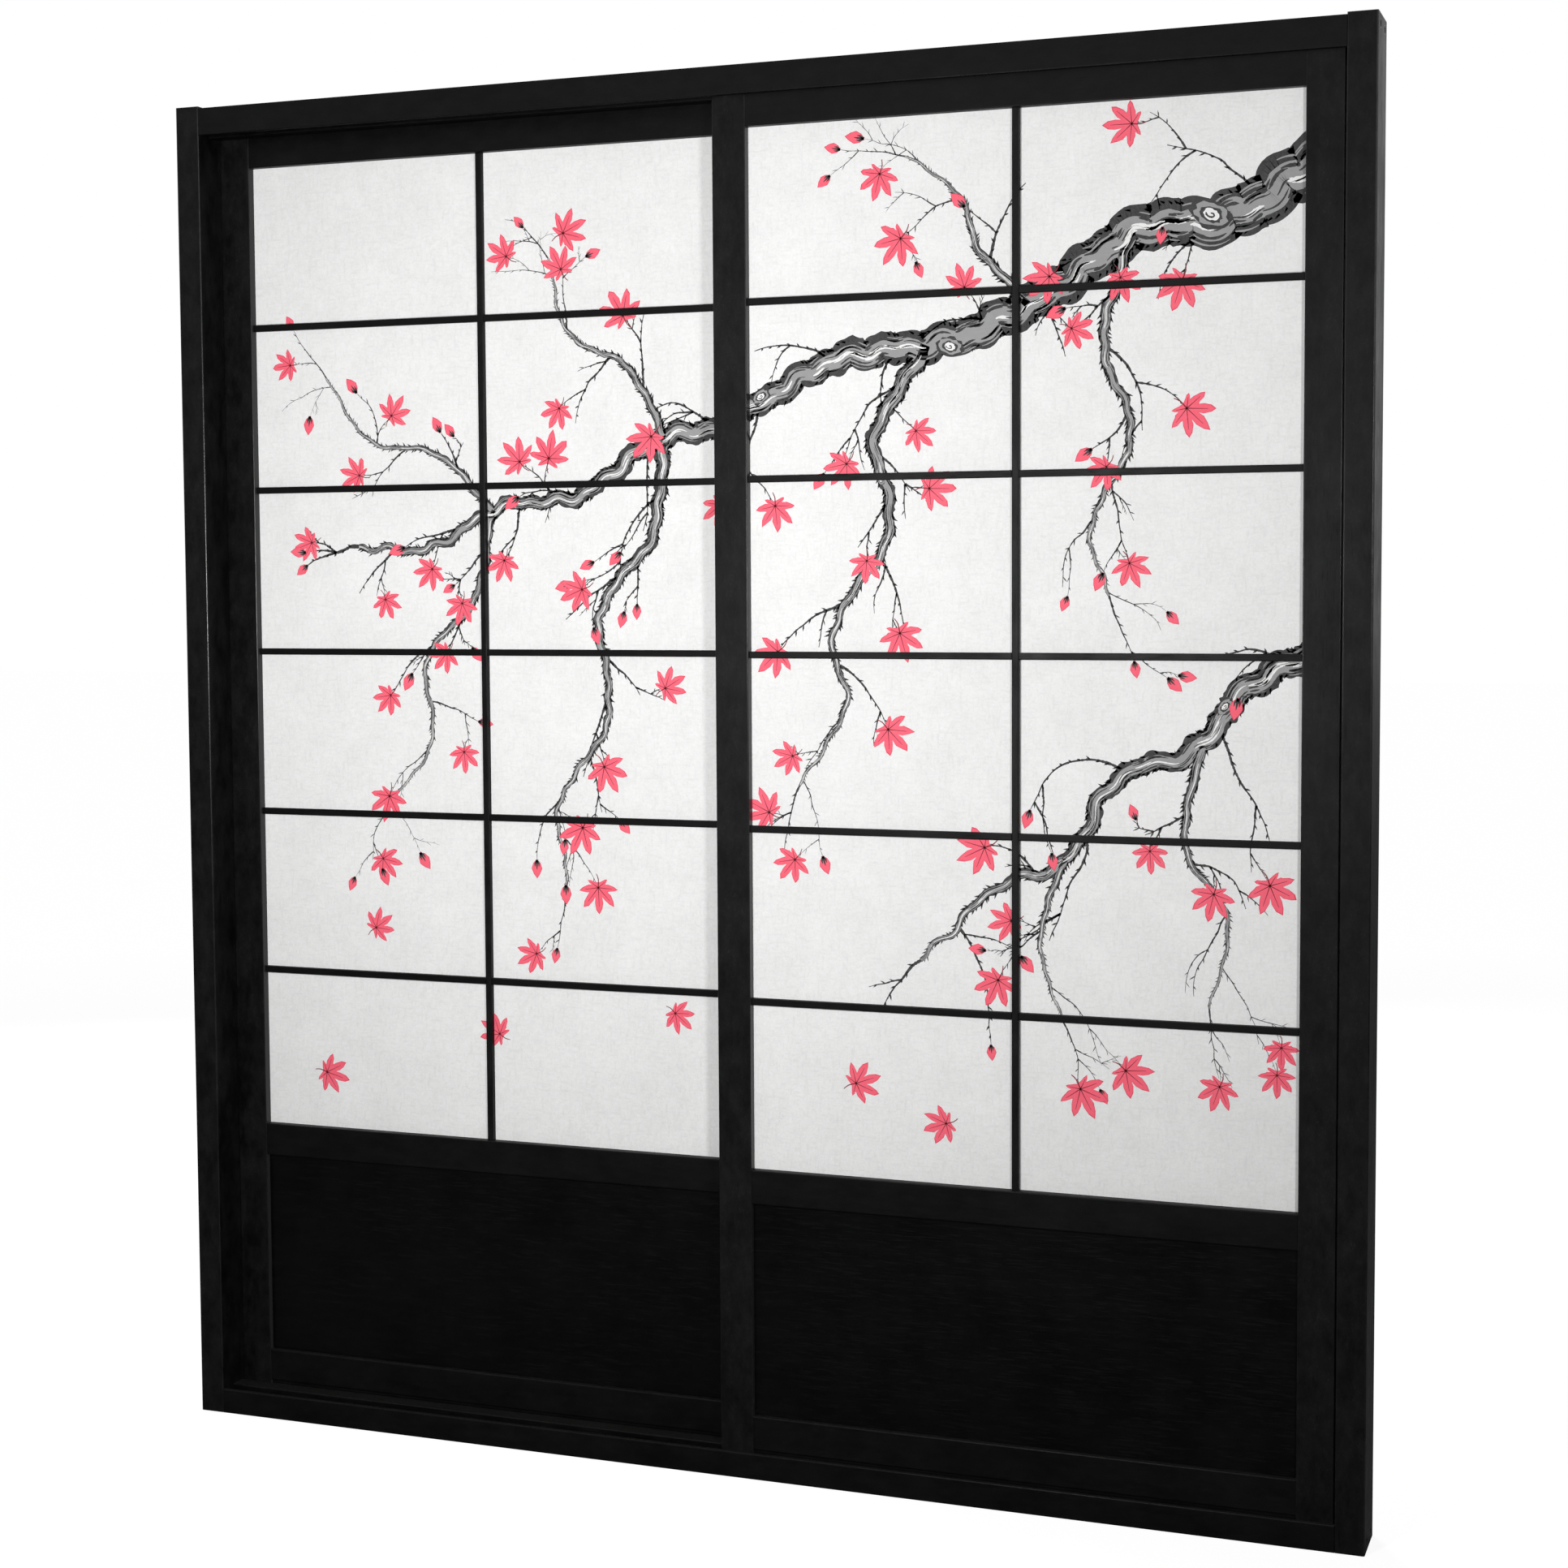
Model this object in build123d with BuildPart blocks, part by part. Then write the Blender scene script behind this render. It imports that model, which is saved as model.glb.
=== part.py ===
"""A pair of shoji sliding panels in their own frame.

Black wooden frame with a two-channel head and sill, and two equal panels that slide past each other:
the left one in the rear channel, the right one in the front channel. Millimetres, +X right, +Y to the
back, +Z up, with the origin under the middle of the frame.
"""
from build123d import *
import os

# Outer frame
frame_width = 1876.0
frame_height = 2108.0
jamb_face = 41.5
jamb_horn = 3.0
jamb_outer_radius = 3.0
jamb_inner_radius = 2.0
head_face = 42.5
sill_face = 38.5
lip_width = 7.5
rib_width = 27.5
head_channel_depth = 20.0
sill_channel_depth = 12.0
arris_radius = 1.2

# Head and sill are tenoned and screwed into the jambs
track_tenon_length = 10.0
track_tenon_thickness = 12.0
track_tenon_setback = 14.0
glue_line = 0.1
screw_length = 72.0
screw_radius = 2.5
screw_head_radius = 5.0
screw_head_height = 3.0
screw_tip_height = 6.0
screw_tip_radius = 0.5
screw_recess_width = 1.2
screw_recess_span = 5.6
screw_recess_depth = 2.0
screw_spacing = 44.0
screw_clearance = 0.05
screw_head_sink = 2.0

# Panels
panel_width = 917.0
panel_thickness = 21.3
side_clearance = 0.6
seat_clearance = 0.3
head_engagement = 6.0
end_gap = 2.75
stile_face = 52.0
top_rail_face = 52.0
mid_rail_face = 51.5
bottom_rail_face = 51.0
bottom_shadow_gap = 4.5
runner_thickness = 12.0
tenon_length = 36.0
tenon_thickness = 7.0
tenon_front = 5.0
tenon_shoulder = 10.0
joint_ease = 0.5

# Lower board, floating in its groove
board_height = 325.0
board_thickness = 6.0
board_recess = 9.0
board_groove_depth = 8.0
board_float = 0.8
board_clearance = 0.1

# Lattice in front of the paper
cross_bar_count = 5
bar_face = 10.0
bar_depth = 8.5
upright_proud = 0.5
bar_chamfer = 0.7
bar_tenon_length = 5.0
bar_tenon_height = 6.0
bar_tenon_depth = 4.5
lap_clearance = 0.1

# Paper and the beads that hold it from behind
paper_plane = 14.0
paper_thickness = 0.6
paper_lap = 7.0
rebate_width = 8.0
bead_thickness = 6.0
bead_clearance = 0.2

# Sizes and places that follow from the ones above
channel_width = panel_thickness + 2 * side_clearance
frame_depth = 2 * (lip_width + channel_width) + rib_width
clear_width = frame_width - 2 * jamb_face
front_y = -frame_depth / 2
front_channel_y = front_y + lip_width + channel_width / 2
rear_channel_y = front_channel_y + channel_width + rib_width
head_top = frame_height - jamb_horn
head_lip_z = head_top - head_face
sill_floor_z = sill_face - sill_channel_depth
panel_bottom = sill_floor_z + seat_clearance
panel_top = head_lip_z + head_engagement
bottom_rail_bottom = sill_face + bottom_shadow_gap
bottom_rail_top = bottom_rail_bottom + bottom_rail_face
mid_rail_bottom = bottom_rail_top + board_height
mid_rail_top = mid_rail_bottom + mid_rail_face
top_rail_bottom = panel_top - top_rail_face
paper_height = top_rail_bottom - mid_rail_top
inner_width = panel_width - 2 * stile_face
pane_height = (paper_height - cross_bar_count * bar_face) / (cross_bar_count + 1)
bar_pitch = pane_height + bar_face
cross_bar_heights = [mid_rail_top + pane_height + bar_face / 2 + i * bar_pitch for i in range(cross_bar_count)]
bar_front = paper_plane - bar_depth
lap_plane = paper_plane - bar_depth / 2
bar_tenon_front = bar_front + (bar_depth - bar_tenon_depth) / 2
head_web_z = (head_lip_z + head_channel_depth + head_top) / 2
sill_web_z = sill_floor_z / 2
panel_offset = clear_width / 2 - end_gap - panel_width / 2

# Each panel: its name, the X of its middle and the Y of its front face
panels = [
    ("left", -panel_offset, rear_channel_y - panel_thickness / 2),
    ("right", panel_offset, front_channel_y - panel_thickness / 2),
]


def keep(part, name):
    """Label a finished piece and write it as one STEP file."""
    part.label = name
    export_step(part, f"parts/{name}.step")


def block(low, high, mode=Mode.ADD):
    """A box between two opposite corners."""
    middle = (Vector(*low) + Vector(*high)) / 2
    size = [abs(b - a) for a, b in zip(low, high)]
    with Locations(middle):
        Box(*size, mode=mode)


def round_over(plane, length, wood_x, wood_y):
    """Take the sharp corner off an edge that leaves the plane's origin along its normal.

    wood_x and wood_y say on which side of the edge the wood lies, along the plane's own axes.
    """
    with BuildSketch(plane) as corner:
        with Locations((wood_x * arris_radius / 2, wood_y * arris_radius / 2)):
            Rectangle(arris_radius, arris_radius)
        with Locations((wood_x * arris_radius, wood_y * arris_radius)):
            Circle(arris_radius, mode=Mode.SUBTRACT)
    extrude(corner.sketch, amount=length, dir=plane.z_dir, mode=Mode.SUBTRACT)


def screw_places(side):
    """The axes of one jamb's screws, from the jamb's outer face inwards."""
    heading = (-side, 0, 0)
    seat_x = side * (frame_width / 2 - screw_head_sink)
    places = []
    for web_z in (sill_web_z, head_web_z):
        for y in (-screw_spacing / 2, screw_spacing / 2):
            places.append(Plane(origin=(seat_x, y, web_z), z_dir=heading))
    return places


def make_jamb(side):
    inner_x = side * clear_width / 2
    with BuildPart() as jamb:
        with BuildSketch() as section:
            with Locations((side * (frame_width - jamb_face) / 2, 0)):
                Rectangle(jamb_face, frame_depth)
            fillet(section.vertices().sort_by(Axis.X, reverse=side > 0)[:2], jamb_outer_radius)
            fillet(section.vertices().sort_by(Axis.X, reverse=side < 0)[:2], jamb_inner_radius)
        extrude(amount=frame_height)
        for web_z in (sill_web_z, head_web_z):
            with Locations((inner_x, 0, web_z)):
                Box(
                    2 * track_tenon_length + 2 * glue_line,
                    frame_depth - 2 * track_tenon_setback + 2 * glue_line,
                    track_tenon_thickness + 2 * glue_line,
                    mode=Mode.SUBTRACT,
                )
        for place in screw_places(side):
            with BuildSketch(place.offset(-screw_head_sink)):
                Circle(screw_head_radius + screw_clearance)
            extrude(amount=screw_head_sink, mode=Mode.SUBTRACT)
            with BuildSketch(place):
                Circle(screw_head_radius + screw_clearance)
            with BuildSketch(place.offset(screw_head_height)):
                Circle(screw_radius + screw_clearance)
            loft(mode=Mode.SUBTRACT)
            with BuildSketch(place):
                Circle(screw_radius + screw_clearance)
            extrude(amount=jamb_face, mode=Mode.SUBTRACT)
    return jamb.part


def make_track(base_z, face, channel_depth, opening_up, web_z):
    """The head or sill: an E-shaped section, with a stub tenon on each end."""
    tip_z = base_z + face if opening_up else base_z
    tip = 1 if opening_up else -1
    tenon_width = frame_depth - 2 * track_tenon_setback
    tenon_x = clear_width / 2 + track_tenon_length
    with BuildPart() as track:
        with BuildSketch(Plane.YZ.offset(-clear_width / 2)) as section:
            with Locations((0, base_z + face / 2)):
                Rectangle(frame_depth, face)
            for y in (front_channel_y, rear_channel_y):
                with Locations((y, tip_z - tip * channel_depth / 2)):
                    Rectangle(channel_width, channel_depth, mode=Mode.SUBTRACT)
            fillet(section.vertices().group_by(Axis.Y)[-1 if opening_up else 0], arris_radius)
        extrude(amount=clear_width)
        with Locations((0, 0, web_z)):
            Box(2 * tenon_x, tenon_width, track_tenon_thickness)
        for side in (-1, 1):
            for place in screw_places(side):
                with BuildSketch(place):
                    Circle(screw_radius + screw_clearance)
                extrude(amount=screw_length + glue_line, mode=Mode.SUBTRACT)
    return track.part


def make_screws():
    """The countersunk screws that hold the four corners, as one group."""
    shank_length = screw_length - screw_head_height - screw_tip_height
    with BuildPart() as screws:
        for side in (-1, 1):
            for place in screw_places(side):
                with BuildSketch(place):
                    Circle(screw_head_radius)
                with BuildSketch(place.offset(screw_head_height)):
                    Circle(screw_radius)
                loft()
                with BuildSketch(place.offset(screw_head_height)):
                    Circle(screw_radius)
                extrude(amount=shank_length)
                with BuildSketch(place.offset(screw_length - screw_tip_height)):
                    Circle(screw_radius)
                with BuildSketch(place.offset(screw_length)):
                    Circle(screw_tip_radius)
                loft()
                with BuildSketch(place):
                    Rectangle(screw_recess_span, screw_recess_width)
                    Rectangle(screw_recess_width, screw_recess_span)
                extrude(amount=screw_recess_depth, mode=Mode.SUBTRACT)
    return screws.part


def make_stile(middle_x, face_y, side):
    """One upright of a panel, mortised for its rails and cross bars."""
    outer_x = middle_x + side * panel_width / 2
    inner_x = middle_x + side * inner_width / 2
    back_y = face_y + panel_thickness
    with BuildPart() as stile:
        with BuildSketch(Plane.XY.offset(panel_bottom)) as section:
            with Locations(((outer_x + inner_x) / 2, face_y + panel_thickness / 2)):
                Rectangle(stile_face, panel_thickness)
            fillet(section.vertices().sort_by(Axis.X, reverse=side > 0)[:2], arris_radius)
        extrude(amount=panel_top - panel_bottom)
        for low_z, high_z in rail_spans().values():
            block(
                (inner_x, face_y + tenon_front - glue_line, low_z + tenon_shoulder - glue_line),
                (inner_x + side * (tenon_length + glue_line),
                 face_y + tenon_front + tenon_thickness + glue_line,
                 high_z - tenon_shoulder + glue_line),
                Mode.SUBTRACT,
            )
        block(
            (inner_x, face_y + paper_plane, mid_rail_top - rebate_width),
            (inner_x + side * rebate_width, back_y, top_rail_bottom + rebate_width),
            Mode.SUBTRACT,
        )
        block(
            (inner_x, face_y + board_recess - board_clearance, bottom_rail_top - board_groove_depth),
            (inner_x + side * board_groove_depth,
             face_y + board_recess + board_thickness + board_clearance,
             mid_rail_bottom + board_groove_depth),
            Mode.SUBTRACT,
        )
        for bar_z in cross_bar_heights:
            block(
                (inner_x, face_y + bar_tenon_front - glue_line, bar_z - bar_tenon_height / 2 - glue_line),
                (inner_x + side * (bar_tenon_length + glue_line),
                 face_y + bar_tenon_front + bar_tenon_depth + glue_line,
                 bar_z + bar_tenon_height / 2 + glue_line),
                Mode.SUBTRACT,
            )
        for low_z, high_z in ((bottom_rail_top, mid_rail_bottom), (mid_rail_top, top_rail_bottom)):
            corner = Plane(origin=(inner_x, face_y, low_z), x_dir=(1, 0, 0), z_dir=(0, 0, 1))
            round_over(corner, high_z - low_z, side, 1)
    return stile.part


def rail_spans():
    """The bottom and top of each rail's face."""
    return {
        "bottom_rail": (bottom_rail_bottom, bottom_rail_top),
        "mid_rail": (mid_rail_bottom, mid_rail_top),
        "top_rail": (top_rail_bottom, panel_top),
    }


def make_rail(middle_x, face_y, name):
    """One rail of a panel, eased where it meets the stiles, with a tenon on each end."""
    low_z, high_z = rail_spans()[name]
    back_y = face_y + panel_thickness
    left_x = middle_x - inner_width / 2
    right_x = middle_x + inner_width / 2
    mortise_half = bar_tenon_height / 2 + glue_line
    bar_mortise_y = (face_y + bar_tenon_front - glue_line, face_y + bar_tenon_front + bar_tenon_depth + glue_line)
    with BuildPart() as rail:
        block((left_x, face_y, low_z), (right_x, back_y, high_z))
        chamfer(rail.edges().filter_by(Axis.Z).group_by(Axis.Y)[0], joint_ease)
        block(
            (left_x - tenon_length, face_y + tenon_front, low_z + tenon_shoulder),
            (right_x + tenon_length, face_y + tenon_front + tenon_thickness, high_z - tenon_shoulder),
        )
        if name == "bottom_rail":
            runner_y = face_y + (panel_thickness - runner_thickness) / 2
            block((left_x, runner_y, panel_bottom), (right_x, runner_y + runner_thickness, low_z))
        if name != "top_rail":
            top_corner = Plane(origin=(left_x, face_y, high_z), x_dir=(0, 1, 0), z_dir=(1, 0, 0))
            round_over(top_corner, inner_width, 1, -1)
        low_corner = Plane(origin=(left_x, face_y, low_z), x_dir=(0, 1, 0), z_dir=(1, 0, 0))
        round_over(low_corner, inner_width, 1, 1)
        if name != "top_rail":
            groove_z = high_z if name == "bottom_rail" else low_z
            inward = -board_groove_depth if name == "bottom_rail" else board_groove_depth
            block(
                (left_x, face_y + board_recess - board_clearance, groove_z),
                (right_x, face_y + board_recess + board_thickness + board_clearance, groove_z + inward),
                Mode.SUBTRACT,
            )
        if name != "bottom_rail":
            edge_z = high_z if name == "mid_rail" else low_z
            inward = -1 if name == "mid_rail" else 1
            block(
                (left_x, face_y + paper_plane, edge_z),
                (right_x, back_y, edge_z + inward * rebate_width),
                Mode.SUBTRACT,
            )
            block(
                (middle_x - mortise_half, bar_mortise_y[0], edge_z),
                (middle_x + mortise_half, bar_mortise_y[1], edge_z + inward * (bar_tenon_length + glue_line)),
                Mode.SUBTRACT,
            )
    return rail.part


def make_board(middle_x, face_y):
    """The thin lower board, loose in the groove on its four sides."""
    reach = board_groove_depth - board_float
    with BuildPart() as board:
        block(
            (middle_x - inner_width / 2 - reach, face_y + board_recess, bottom_rail_top - reach),
            (middle_x + inner_width / 2 + reach, face_y + board_recess + board_thickness, mid_rail_bottom + reach),
        )
    return board.part


def make_upright_bar(middle_x, face_y):
    """The upright lattice bar, halved from behind where the cross bars pass."""
    front = face_y + bar_front - upright_proud
    back = face_y + paper_plane
    half = bar_face / 2
    with BuildPart() as bar:
        with BuildSketch(Plane.XY.offset(mid_rail_top)) as section:
            with Locations((middle_x, (front + back) / 2)):
                Rectangle(bar_face, back - front)
            chamfer(section.vertices().group_by(Axis.Y)[0], bar_chamfer)
        extrude(amount=paper_height)
        block(
            (middle_x - bar_tenon_height / 2, face_y + bar_tenon_front, mid_rail_top - bar_tenon_length),
            (middle_x + bar_tenon_height / 2, face_y + bar_tenon_front + bar_tenon_depth,
             top_rail_bottom + bar_tenon_length),
        )
        for bar_z in cross_bar_heights:
            block(
                (middle_x - half, face_y + lap_plane, bar_z - half - lap_clearance),
                (middle_x + half, back, bar_z + half + lap_clearance),
                Mode.SUBTRACT,
            )
    return bar.part


def make_cross_bar(middle_x, face_y, bar_z):
    """One cross bar, halved from the front where the upright bar passes."""
    front = face_y + bar_front
    back = face_y + paper_plane
    half = bar_face / 2
    left_x = middle_x - inner_width / 2
    with BuildPart() as bar:
        with BuildSketch(Plane.YZ.offset(left_x)) as section:
            with Locations(((front + back) / 2, bar_z)):
                Rectangle(bar_depth, bar_face)
            chamfer(section.vertices().group_by(Axis.Y)[0], bar_chamfer)
        extrude(amount=inner_width)
        block(
            (left_x - bar_tenon_length, face_y + bar_tenon_front, bar_z - bar_tenon_height / 2),
            (left_x + inner_width + bar_tenon_length, face_y + bar_tenon_front + bar_tenon_depth,
             bar_z + bar_tenon_height / 2),
        )
        block(
            (middle_x - half - lap_clearance, front, bar_z - half),
            (middle_x + half + lap_clearance, face_y + lap_plane, bar_z + half),
            Mode.SUBTRACT,
        )
    return bar.part


def make_paper(middle_x, face_y):
    """The paper sheet, lapped into the rebate behind the lattice."""
    with BuildPart() as paper:
        block(
            (middle_x - inner_width / 2 - paper_lap, face_y + paper_plane, mid_rail_top - paper_lap),
            (middle_x + inner_width / 2 + paper_lap, face_y + paper_plane + paper_thickness,
             top_rail_bottom + paper_lap),
        )
    return paper.part


def make_beads(middle_x, face_y):
    """The four mitred beads that press the paper into its rebate, by side."""
    reach = rebate_width - bead_clearance
    half = inner_width / 2
    low, high = mid_rail_top, top_rail_bottom
    outlines = {
        "bottom_bead": [(-half, low), (half, low), (half + reach, low - reach), (-half - reach, low - reach)],
        "top_bead": [(-half, high), (half, high), (half + reach, high + reach), (-half - reach, high + reach)],
        "left_bead": [(-half, low), (-half, high), (-half - reach, high + reach), (-half - reach, low - reach)],
        "right_bead": [(half, low), (half, high), (half + reach, high + reach), (half + reach, low - reach)],
    }
    front = Plane(
        origin=(middle_x, face_y + paper_plane + paper_thickness, 0), x_dir=(1, 0, 0), z_dir=(0, -1, 0)
    )
    beads = {}
    for name, outline in outlines.items():
        with BuildPart() as bead:
            with BuildSketch(front):
                with BuildLine():
                    Polyline(*outline, close=True)
                make_face()
            extrude(amount=-bead_thickness)
        beads[name] = bead.part
    return beads


os.makedirs("parts", exist_ok=True)

for name, side in (("left_jamb", -1), ("right_jamb", 1)):
    keep(make_jamb(side), name)
keep(make_track(0, sill_face, sill_channel_depth, True, sill_web_z), "sill_track")
keep(make_track(head_lip_z, head_face, head_channel_depth, False, head_web_z), "head_track")
keep(make_screws(), "frame_screws")

for panel, middle_x, face_y in panels:
    for name, side in (("left_stile", -1), ("right_stile", 1)):
        keep(make_stile(middle_x, face_y, side), f"{panel}_panel_{name}")
    for name in rail_spans():
        keep(make_rail(middle_x, face_y, name), f"{panel}_panel_{name}")
    keep(make_board(middle_x, face_y), f"{panel}_panel_lower_board")
    keep(make_upright_bar(middle_x, face_y), f"{panel}_panel_upright_bar")
    for number, bar_z in enumerate(cross_bar_heights, start=1):
        keep(make_cross_bar(middle_x, face_y, bar_z), f"{panel}_panel_cross_bar_{number}")
    keep(make_paper(middle_x, face_y), f"{panel}_panel_paper")
    for name, bead in make_beads(middle_x, face_y).items():
        keep(bead, f"{panel}_panel_{name}")
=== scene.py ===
"""Finish and stage for a pair of shoji sliding panels in their frame.

The wood is satin black lacquer over open-pored grain, the paper is fibrous and matt, and a
picture of hanging maple boughs is printed over both papers. Everything is in metres, in the frame
of the solids.
"""
import math
import random

import bmesh
import bpy
from bpy.props import FloatProperty, FloatVectorProperty, IntProperty, PointerProperty
from mathutils import Matrix, Vector


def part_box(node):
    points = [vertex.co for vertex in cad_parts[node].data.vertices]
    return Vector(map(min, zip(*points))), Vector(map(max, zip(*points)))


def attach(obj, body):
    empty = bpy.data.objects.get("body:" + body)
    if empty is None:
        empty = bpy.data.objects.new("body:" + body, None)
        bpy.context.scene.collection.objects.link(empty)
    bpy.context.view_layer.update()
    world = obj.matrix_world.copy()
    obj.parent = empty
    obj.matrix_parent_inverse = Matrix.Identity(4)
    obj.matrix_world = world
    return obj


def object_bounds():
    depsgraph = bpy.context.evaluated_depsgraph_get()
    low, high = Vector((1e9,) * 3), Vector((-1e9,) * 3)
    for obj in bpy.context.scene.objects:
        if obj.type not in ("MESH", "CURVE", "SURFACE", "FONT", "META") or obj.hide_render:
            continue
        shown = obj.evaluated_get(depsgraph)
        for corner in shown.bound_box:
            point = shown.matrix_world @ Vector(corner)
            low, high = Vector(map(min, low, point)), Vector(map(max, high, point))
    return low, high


bl_info = {
    "name": "Shoji sliding panels",
    "version": (1, 0, 0),
    "blender": (4, 5, 0),
    "location": "View3D > Sidebar > Shoji",
    "description": "Lacquer, paper, print and studio for a pair of shoji sliding panels",
    "category": "Object",
}

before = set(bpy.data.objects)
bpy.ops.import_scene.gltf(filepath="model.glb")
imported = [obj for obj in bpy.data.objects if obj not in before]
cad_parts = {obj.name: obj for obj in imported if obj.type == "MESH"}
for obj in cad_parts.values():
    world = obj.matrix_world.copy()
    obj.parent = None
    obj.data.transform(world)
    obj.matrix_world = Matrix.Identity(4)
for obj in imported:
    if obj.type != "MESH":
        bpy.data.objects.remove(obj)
cad_low, cad_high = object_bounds()

MM = 0.001
PANELS = ("left_panel", "right_panel")
CROSS_BARS = [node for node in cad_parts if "cross_bar" in node]


def colour_property(name, description, default):
    return FloatVectorProperty(
        name=name, description=description, subtype="COLOR", size=3, min=0, max=1, default=default
    )


def length_property(name, description, default):
    return FloatProperty(
        name=name, description=description, unit="LENGTH", min=0, precision=5, default=default
    )


def place_property(name, description, default):
    return FloatVectorProperty(
        name=name, description=description, subtype="TRANSLATION", size=3, default=default
    )


def size_property(name, description, default):
    return FloatVectorProperty(
        name=name, description=description, unit="LENGTH", size=2, min=0, default=default
    )


def angle_property(name, description, degrees):
    return FloatProperty(
        name=name, description=description, subtype="ANGLE", default=math.radians(degrees)
    )


def factor_property(name, description, default):
    return FloatProperty(
        name=name, description=description, subtype="FACTOR", min=0, max=1, default=default
    )


def power_property(name, description, default):
    return FloatProperty(name=name, description=description, unit="POWER", min=0, default=default)


class LacquerSettings(bpy.types.PropertyGroup):
    colour: colour_property("Lacquer", "Colour of the black lacquer", (0.0008, 0.0008, 0.0009))
    rubbed_colour: colour_property("Rubbed edge", "Lacquer worn thin", (0.016, 0.014, 0.013))
    # Painted sheen: the paler colour given to the inner side of each stile
    side_colour: colour_property("Painted side sheen", "Inner side of a stile painted paler as a sheen", (0.032, 0.032, 0.032))
    haze_colour: colour_property("Haze", "Cloudy bloom and fine specks", (0.015, 0.015, 0.015))
    dust_colour: colour_property("Dust", "Fine dust on the ledges", (0.22, 0.21, 0.20))
    roughness_upright: factor_property("Roughness, upright", "Lacquer on upright pieces", 0.45)
    roughness_level: factor_property("Roughness, level", "Lacquer on level pieces", 0.45)
    roughness_board: factor_property("Roughness, board", "Lacquer on the lower boards", 0.36)
    # Glossier roughness on the inner side of a stile, under its painted sheen
    roughness_side: factor_property("Roughness, side", "Inner side of a stile under its painted sheen", 0.16)
    roughness_edge: factor_property("Roughness, edge", "Lacquer polished by hands on an edge", 0.20)
    roughness_gap: factor_property("Roughness, gap", "Lacquer in gaps that no cloth reaches", 0.85)
    edge_coat: factor_property("Edge coat", "Polish that hands leave on jambs and stiles", 0.8)
    specular: factor_property("Sheen", "Specular level of the lacquer", 0.10)
    grain_depth: length_property("Grain depth", "Depth of the grain that shows through", 0.00006)
    rubbed_width: length_property("Rubbed width", "Width of the wear along an edge", 0.0020)
    rubbed: factor_property("Wear", "How far the edges are rubbed", 0.45)
    dust: factor_property("Dust amount", "How much dust lies on the ledges", 0.10)


class PaperSettings(bpy.types.PropertyGroup):
    colour: colour_property("Paper", "Colour of the bleached paper", (0.90, 0.90, 0.895))
    fibre_colour: colour_property("Fibres", "Long fibres in the sheet", (0.80, 0.80, 0.79))
    roughness: factor_property("Roughness", "Roughness of the matt paper", 0.85)
    relief: length_property("Relief", "Height of the fibres", 0.00012)
    mottle: factor_property("Mottle", "How cloudy the sheet is", 0.32)


class PrintSettings(bpy.types.PropertyGroup):
    charcoal: colour_property("Charcoal", "Outlines, twigs and dark bark", (0.030, 0.030, 0.031))
    bark_grey: colour_property("Bark grey", "Middle tone of the bark", (0.31, 0.31, 0.31))
    bark_light: colour_property("Bark light", "Light strokes on the bark", (0.86, 0.86, 0.85))
    leaf_rim: colour_property("Leaf rim", "Dark edge of a leaf", (0.78, 0.055, 0.110))
    leaf: colour_property("Leaf", "Coral of the leaves", (0.96, 0.120, 0.185))
    vein: colour_property("Vein", "Dark red of the veins", (0.22, 0.006, 0.018))
    leaf_size: length_property("Leaf size", "Length of a full-grown leaf", 0.040)
    layer: length_property("Ink layer", "Step between one ink and the next", 0.00003)
    seed: IntProperty(name="Seed", description="Starts the random growth of the twigs", default=11)


class StageSettings(bpy.types.PropertyGroup):
    floor_colour: colour_property("Floor", "Pale studio floor", (0.30, 0.30, 0.30))
    floor_size: length_property("Floor size", "Side of the square floor", 60.0)
    near_glow: factor_property("Near glow", "Glow that the camera sees on the near floor", 0.89)
    far_glow: factor_property("Far glow", "Glow that the camera sees on the far floor", 0.957)
    ambient: factor_property("Ambient", "Strength of the even light from all round", 0.12)
    front_power: power_property("Front power", "Power of the front lamp", 37.8)
    front_place: place_property("Front place", "Middle of the front lamp", (0.0, -2.0, 1.30))
    front_target: place_property("Front target", "Where the front lamp points", (-1.0, 0.0, 2.0))
    front_size: size_property("Front size", "Width and height of the front lamp", (0.25, 0.25))
    key_power: power_property("Key power", "Power of the key lamp", 44.5)
    key_place: place_property("Key place", "Middle of the key lamp", (2.35, -3.36, 1.6))
    key_target: place_property("Key target", "Where the key lamp points", (0.0, 0.0, 1.2))
    key_size: size_property("Key size", "Width and height of the key lamp", (0.35, 0.35))
    back_power: power_property("Back power", "Power of the lamp behind", 90.0)
    back_place: place_property("Back place", "Middle of the lamp behind", (-1.6, 3.6, 1.7))
    back_target: place_property("Back target", "Where the lamp behind points", (0.0, 0.0, 1.1))
    back_size: size_property("Back size", "Width and height of the lamp behind", (1.5, 1.5))
    camera: place_property("Camera", "Place of the camera", (1.376, -3.523, 1.352))
    yaw: angle_property("Yaw", "Turn to the left", 20.37)
    pitch: angle_property("Pitch", "Tilt down", 3.64)
    roll: angle_property("Roll", "Roll clockwise", -0.32)
    lens: FloatProperty(
        name="Lens", description="Focal length in millimetres", unit="CAMERA", default=57.94
    )
    shift: FloatVectorProperty(
        name="Shift", description="Shift of the lens", size=2, default=(0.0015, -0.0268)
    )


class ShojiSettings(bpy.types.PropertyGroup):
    lacquer: PointerProperty(type=LacquerSettings)
    paper: PointerProperty(type=PaperSettings)
    picture: PointerProperty(type=PrintSettings)
    stage: PointerProperty(type=StageSettings)


# Shader helpers


def add_node(tree, kind, inputs=None, **settings):
    """One shader node with its settings, and with its inputs set or linked by name or number."""
    node = tree.nodes.new(kind)
    for name, value in settings.items():
        setattr(node, name, value)
    for name, value in (inputs or {}).items():
        if isinstance(value, bpy.types.NodeSocket):
            tree.links.new(value, node.inputs[name])
        else:
            node.inputs[name].default_value = value
    return node


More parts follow.
